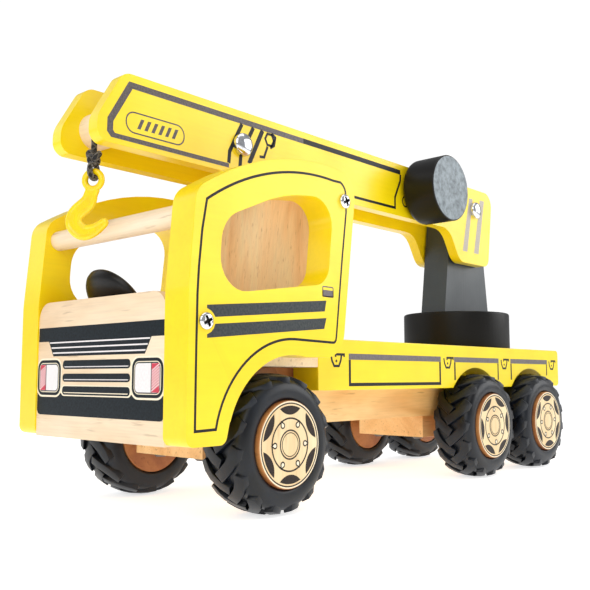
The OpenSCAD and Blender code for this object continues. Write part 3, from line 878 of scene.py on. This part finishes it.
def wheel(axle, y, roll, side):
    """One wheel: tyre, wooden disc and the print on its face, all turned by roll degrees."""
    name = f"{axle}_{'left' if side > 0 else 'right'}"
    body = f"{axle}_wheels"
    turn = Matrix.Rotation(math.radians(7 * roll + 11), 4, "X")
    mesh = TYRE_MESH.copy()
    mirror = Matrix.Rotation(math.pi, 4, "Z") if side < 0 else Matrix.Identity(4)
    mesh.transform(Matrix.Translation(Vector((side * TYRE_MID, y, TYRE_R)) * MM) @ mirror @ turn)
    tyre = bpy.data.objects.new(name + "_lugged_tyre", mesh)
    bpy.context.scene.collection.objects.link(tyre)
    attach(tyre, body)
    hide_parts(name + "_tyre")
    corners = [(BOSS_X, 0, 0), (BOSS_X, WHEEL_BOSS_R, 0.4), (DISC_X, WHEEL_BOSS_R, 0)]
    corners += [(DISC_X, WHEEL_DISC_R, 0.5), (FACE_X, WHEEL_DISC_R, 0.7), (FACE_X, 0, 0)]
    disc = lathe(name + "_disc", rounded_profile(corners), (0, y, TYRE_R), (side, 0, 0), HUB_FACE, body, 96,
        name + "_hub")
    disc.data.materials.append(HUB_RIM)
    for face in disc.data.polygons:
        if side * face.normal.x < 0.9:
            face.material_index = 1

    def place(u, v, height):
        p = turned_by(roll) @ Vector((u, v))
        return (side * (FACE_X + height), y + side * p.x, TYRE_R + p.y)

    dark = [ring_line(19.0, 0.6), ring_line(12.1, 0.75), ring_line(6.6, 0.7), ring_line(5.4, 0.4)]
    dark += [lens(a) for a in range(30, 390, 60)]
    bolts = [teardrop(a, BOLT_RING_R, 1.5) for a in range(0, 360, 60)]
    heads = [teardrop(a, BOLT_RING_R, 0.85) for a in range(0, 360, 60)]
    printed(name + "_face_rings", dark, place, INK_BROWN, body, 0)
    # A cream ring at the disc's rounded edge: a painted highlight.
    printed(name + "_face_edge_painted_highlight", [ring_line(19.6, 0.45)], place, INK_CREAM, body, 0)
    printed(name + "_face_bolts", bolts, place, INK_BROWN, body, 1)
    printed(name + "_bolt_heads", heads, place, INK_CREAM, body, 2)


for axle, y, roll in AXLES:
    for side in (1, -1):
        wheel(axle, y, roll, side)

# ---------------------------------------------------------------- prints on the boards


def on_side(side, face):
    """Maps a print drawn as the left side is seen, along and up the truck, to a side face."""
    return lambda u, v, height: (side * (face + height), u, v)


def on_front(u, v, height):
    return (u, GRILLE_FACE - height, v)


def side_name(side):
    return "left" if side > 0 else "right"


def cab_print(side):
    """The line round the cab side, two stripes beside the screw and a vent under the window."""
    name = side_name(side)
    place = on_side(side, CAB_FACE)
    roof = arc(-99.7, 31.8, 131, 124.8, 86.2, 24)
    corner = arc(-87.2, 156.6, 6.4, 70, 5, 6)
    back = [(-80.6, 148), (-84.1, 123), (-88.9, 84)]
    low_corner = arc(-91.4, 83.2, 2.3, -5, -85, 4)
    arch = arc(-120, 32.5, 49.2, 89, 168.5, 18)
    front = [(-179.6, 42), (-179.4, 77), (-179.1, 99), (-178.5, 110), (-176.9, 126)]
    outline = roof + corner + back + low_corner + arch + front
    printed(name + "_cab_outline", [stroke(outline, 1.2, True)], place, INK, "chassis", 0)
    upper = [(-173.8, 94.3), (-96.5, 101.4), (-97.7, 96), (-169.1, 89.4), (-170.2, 90.9), (-171.7, 92.1),
        (-173.8, 92.9)]
    lower = [(-169.1, 86.5), (-96.5, 92.8), (-98.2, 87.4), (-173.6, 80.4), (-173.6, 81.9), (-171.3, 83),
        (-169.8, 84.7)]
    printed(name + "_cab_stripes", [upper, lower], place, INK_STRIPE, "chassis", 0)
    vent = [rounded_box(-99.5, 103.2, -91, 106.6, 0.5)]
    vent += [stroke(rounded_box(-99.2, 103.4, -91.3, 108.2, 0.6), 0.6, True)]
    printed(name + "_cab_vent", vent, place, INK_GREY, "chassis", 0)


def boom_print(side):
    """The boom's trim: a band round the tip, bars and a hexagon by the pin, a box, tail bars and a badge."""
    name = side_name(side)
    place = on_side(side, BOOM_FACE)
    tip = [(-118, 172.5), (-190.6, 172.5), (-192.9, 174.9), (-192.8, 181.2), (-181.5, 201.1), (-60, 201.1)]
    tip += [(-60, 198), (-179.4, 198), (-189.6, 180.2), (-189.7, 176), (-188.6, 174.8), (-118, 174.8)]
    # The tip band and the badge take the lighter grey print, a painted sheen.
    printed(name + "_boom_tip_trim", [tip], place, INK_TIP_SHEEN, "boom", 0)
    shapes = [stroke([(-60, 199.6), (36.8, 199.6)], 3.1)]
    shapes += [stroke([(-118.2, 175), (-117.6, 181.4), (-108.9, 198)], 2.3)]
    shapes += [stroke([(-110.2, 173.5), (-109.6, 180.7), (-100.4, 198)], 2.4)]
    shapes += [stroke([(-103.4, 177.5), (-101.8, 180.9), (-93.4, 198)], 2.8)]
    corners = [math.radians(a) for a in range(0, 360, 60)]
    hexagon = [(-87.9 + 3.4 * math.cos(a), 194 + 3.6 * math.sin(a)) for a in corners]
    shapes += [stroke(hexagon, 1.4, True)]
    shapes += [stroke([(-86.4, 197.9), (-83.4, 196.2), (-84.4, 191.6), (-87.4, 189.6)], 1.8)]
    shapes += [stroke([(-89.4, 189.9), (-92.1, 183.4), (-95.6, 183)], 1.5)]
    rear = [(-80, 174.5), (30.3, 174.7), (30.4, 181.8), (36.5, 193.7), (36.9, 198.1)]
    shapes += [stroke(rear, 1.7), stroke(arc(42.2, 180.6, 3.3, 0, 350, 35), 1, True)]
    printed(name + "_boom_trim", shapes, place, INK, "boom", 0)
    tail = [[(125.9, 197), (131, 197), (121.6, 156), (115.2, 156)]]
    tail += [[(141.8, 198), (148, 198), (137.9, 156), (131.3, 156)]]
    # The tail bars take the lighter grey print, a painted sheen.
    printed(name + "_boom_tail_bars", tail, place, INK_TAIL_SHEEN, "boom", 0)
    badge = [stroke(rounded_box(-182.6, 177.2, -148.2, 187, 4.6), 0.7, True)]
    for count in range(6):
        left = -176.4 + 4.1 * count
        badge.append([(left, 179.6), (left + 1.9, 179.6), (left + 4.1, 184.6), (left + 2.2, 184.6)])
    printed(name + "_boom_badge", badge, place, INK_TIP_SHEEN, "boom", 0)


def latch(y):
    """A printed latch under the bed's edge: a tapering cup with a dot, and a hooked bar above it."""
    cup = [(y - 4.5, 75.6), (y - 3.8, 72.6), (y - 2, 69.8), (y + 1.9, 69.8), (y + 3.5, 72.8), (y + 4, 75.4)]
    bar = [(y - 0.8, 74.5), (y - 0.8, 75.9), (y + 6.3, 75.9), (y + 6.3, 74.6)]
    return [stroke(cup, 1.3), stroke(bar, 1.3), arc(y - 0.2, 72.4, 0.75, 0, 340, 12)]


def bed_print(side):
    """Three trays along the side of the bed, open at the bottom where a wheel arch cuts them."""
    name = side_name(side)
    place = on_side(side, BED_FACE)
    shapes = []
    trays = ((-60.1, 30.7), (46.2, 103.9), (120.9, 178.7))
    bands = [[(a, 73.3), (b, 73.3), (b, 76.5), (a, 76.5)] for a, b in trays]
    shapes.append(stroke([(-59.2, 73.2), (-59.2, 60), (29.8, 60), (29.8, 73.2)], 1.8))
    for front, back, back_low in ((47.1, 103, 62), (121.8, 177.8, 65)):
        shapes.append(stroke([(front, 73.2), (front, 62)], 1.7))
        shapes.append(stroke([(back, 73.2), (back, back_low)], 1.5))
    for y in (-70.3, 38.8, 112, 186.6):
        shapes += latch(y)
    printed(name + "_bed_trim", shapes, place, INK, "chassis", 0)
    printed(name + "_bed_bands", bands, place, INK_GREY, "chassis", 1)


def lamp(centre, width, side):
    """A printed head lamp: halo, dark ring, white glass and, on its outer third, red hatching."""
    u0, u1, v0, v1 = centre - width / 2, centre + width / 2, 55.2, 72.4
    halo = rounded_box(u0 - 0.9, v0 - 0.9, u1 + 0.9, v1 + 0.9, 5.2)
    ring = rounded_box(u0, v0, u1, v1, 4.5)
    gap = rounded_box(u0 + 1.5, v0 + 1.4, u1 - 1.5, v1 - 1.4, 3.2)
    inner = rounded_box(u0 + 1.9, v0 + 1.8, u1 - 1.9, v1 - 1.8, 2.8)
    glass = rounded_box(u0 + 2.4, v0 + 2.3, u1 - 2.4, v1 - 2.3, 2.2)
    edge = u1 - 2.4 if side > 0 else u0 + 2.4
    start = edge - side * 5.6
    a, b = sorted((start, edge - side * 0.2))
    red = [(a, v0 + 2.4), (b, v0 + 2.4), (b, v1 - 2.4), (a, v1 - 2.4)]
    hatch = []
    for count in range(-3, 12):
        foot = v0 + 2.6 + 1.22 * count
        corners = [(a, foot), (b, foot + 3.1), (b, foot + 3.65), (a, foot + 0.55)]
        corners = [(u, min(max(v, v0 + 2.5), v1 - 2.5)) for u, v in corners]
        if min(corners[2][1] - corners[1][1], corners[3][1] - corners[0][1]) > 0.1:
            hatch.append(corners)
    left, right = start - 0.2, start + 0.2
    divider = [(left, v0 + 2.3), (right, v0 + 2.3), (right, v1 - 2.3), (left, v1 - 2.3)]
    return {"halo": halo, "ring": ring, "gap": gap, "inner": inner, "glass": glass, "red": red,
        "hatch": hatch, "divider": divider}


def grille_print():
    """The grille board's print: two dark bands, a louvre, three bars and two head lamps, in layers."""
    def ink(name, shapes, colour, layer):
        printed(name, shapes, on_front, colour, "chassis", layer)

    upper_band = [(-51, 81.6), (51, 81.6), (51, 88.5), (-51, 88.5)]
    louvre = [(-41.7, 81.7), (41.7, 81.7), (37.1, 74.2), (-37.1, 74.2)]
    low_corners = arc(48.1, 48.5, 3, 0, -90, 5) + arc(-48.1, 48.5, 3, 270, 180, 5)
    lower_band = [(51.1, 56.2)] + low_corners + [(-51.1, 56.2)]
    bars = [(67.9, 72.1), (61.8, 65.7), (55.6, 59.7)]
    *free_bars, (foot, top) = bars
    dark = [upper_band, louvre, lower_band] + [rounded_box(-28.2, a, 26.8, b, 1.95) for a, b in free_bars]
    ink("grille_ink", dark, INK_BLUE, 0)
    white = []
    for v, half in ((80.9, 40.5), (78.35, 38.9), (75.8, 37.4)):
        white.append([(-half, v - 0.33), (half, v - 0.33), (half + 0.2, v + 0.33), (-half - 0.2, v + 0.33)])
    for a, b in free_bars:
        white.append([(-26.4, a + 0.85), (25, a + 0.85), (25.5, a + 1.25), (-26.9, a + 1.25)])
    ink("grille_lines", white, INK_WHITE, 1)
    lamps = [lamp(-40.4, 21.2, -1), lamp(39.2, 22, 1)]
    lowest_halo = rounded_box(-29.2, foot - 0.6, 27.8, top + 0.4, 2.4)
    lowest_bar = rounded_box(-28.2, foot, 26.8, top, 1.95)
    lowest_line = [(-26.4, 56.4), (25, 56.4), (25.5, 56.8), (-26.9, 56.8)]
    layers = (("lamp_halos", [lowest_halo], "halo", INK_CREAM),
        ("lamp_rings", [lowest_bar], "ring", INK_BLUE), ("lamp_gaps", [lowest_line], "gap", INK_CREAM),
        ("lamp_inner_rings", [], "inner", INK_BLUE), ("lamp_glasses", [], "glass", INK_WHITE),
        ("lamp_red_panes", [], "red", INK_RED))
    for layer, (name, bar_part, part, colour) in enumerate(layers, 1):
        ink(name, bar_part + [made[part] for made in lamps], colour, layer)
    ink("lamp_hatching", lamps[0]["hatch"] + lamps[1]["hatch"], INK_WHITE, 7)
    ink("lamp_dividers", [made["divider"] for made in lamps], INK_BLUE, 8)


for side in (1, -1):
    cab_print(side)
    boom_print(side)
    bed_print(side)
grille_print()

# ---------------------------------------------------------------- floor and light


def make_floor():
    """A plain white floor, lit a little by itself so that only contact shadows show."""
    shader = Shader("floor", 0.9, Emission_Strength=0.7, Emission_Color=(1, 1, 1, 1))
    grains = shader.noise(shader.place(), 8, 3, 0.6)
    shader.link(shader.ramp(grains, [(0.3, 0.86), (0.7, 0.88)]), "Base Color")
    bm = bmesh.new()
    bmesh.ops.create_grid(bm, x_segments=2, y_segments=2, size=6)
    floor = finish_mesh("floor", bm, shader.material, None)


def soft_light(name, azimuth, height, distance, size, power, colour=(1, 1, 1)):
    """A softbox aimed at the truck from an azimuth counted from +Y towards +X."""
    light = bpy.data.lights.new(name, "AREA")
    light.shape = "RECTANGLE"
    light.size, light.size_y = size
    light.energy = power
    light.color = colour
    lamp_object = bpy.data.objects.new(name, light)
    a = math.radians(azimuth)
    target = Vector((0, 0, 0.08))
    lamp_object.location = target + Vector((math.sin(a) * distance, math.cos(a) * distance, height))
    lamp_object.rotation_euler = (target - lamp_object.location).to_track_quat("-Z", "Y").to_euler()
    bpy.context.scene.collection.objects.link(lamp_object)


def make_world():
    """A white backdrop behind a dimmer sky, which is what lights the truck."""
    world = bpy.data.worlds.new("studio")
    bpy.context.scene.world = world
    world.use_nodes = True
    nodes, links = world.node_tree.nodes, world.node_tree.links
    nodes.clear()
    sky = nodes.new("ShaderNodeBackground")
    sky.inputs[0].default_value = (0.95, 0.97, 1, 1)
    sky.inputs[1].default_value = 0.38
    backdrop = nodes.new("ShaderNodeBackground")
    backdrop.inputs[0].default_value = (1, 1, 1, 1)
    backdrop.inputs[1].default_value = 1.05
    chooser = nodes.new("ShaderNodeMixShader")
    links.new(nodes.new("ShaderNodeLightPath").outputs["Is Camera Ray"], chooser.inputs[0])
    links.new(sky.outputs[0], chooser.inputs[1])
    links.new(backdrop.outputs[0], chooser.inputs[2])
    links.new(chooser.outputs[0], nodes.new("ShaderNodeOutputWorld").inputs[0])


make_floor()
soft_light("right_softbox", 40, 0.5, 1.3, (1.0, 0.7), 6.4)
soft_light("front_softbox", 150, 0.9, 1.5, (1.2, 1.0), 9.2)
soft_light("left_softbox", 235, 0.9, 1.6, (1.4, 1.2), 5)
soft_light("top_softbox", 90, 1.7, 0.3, (1.6, 1.6), 8.4)
make_world()
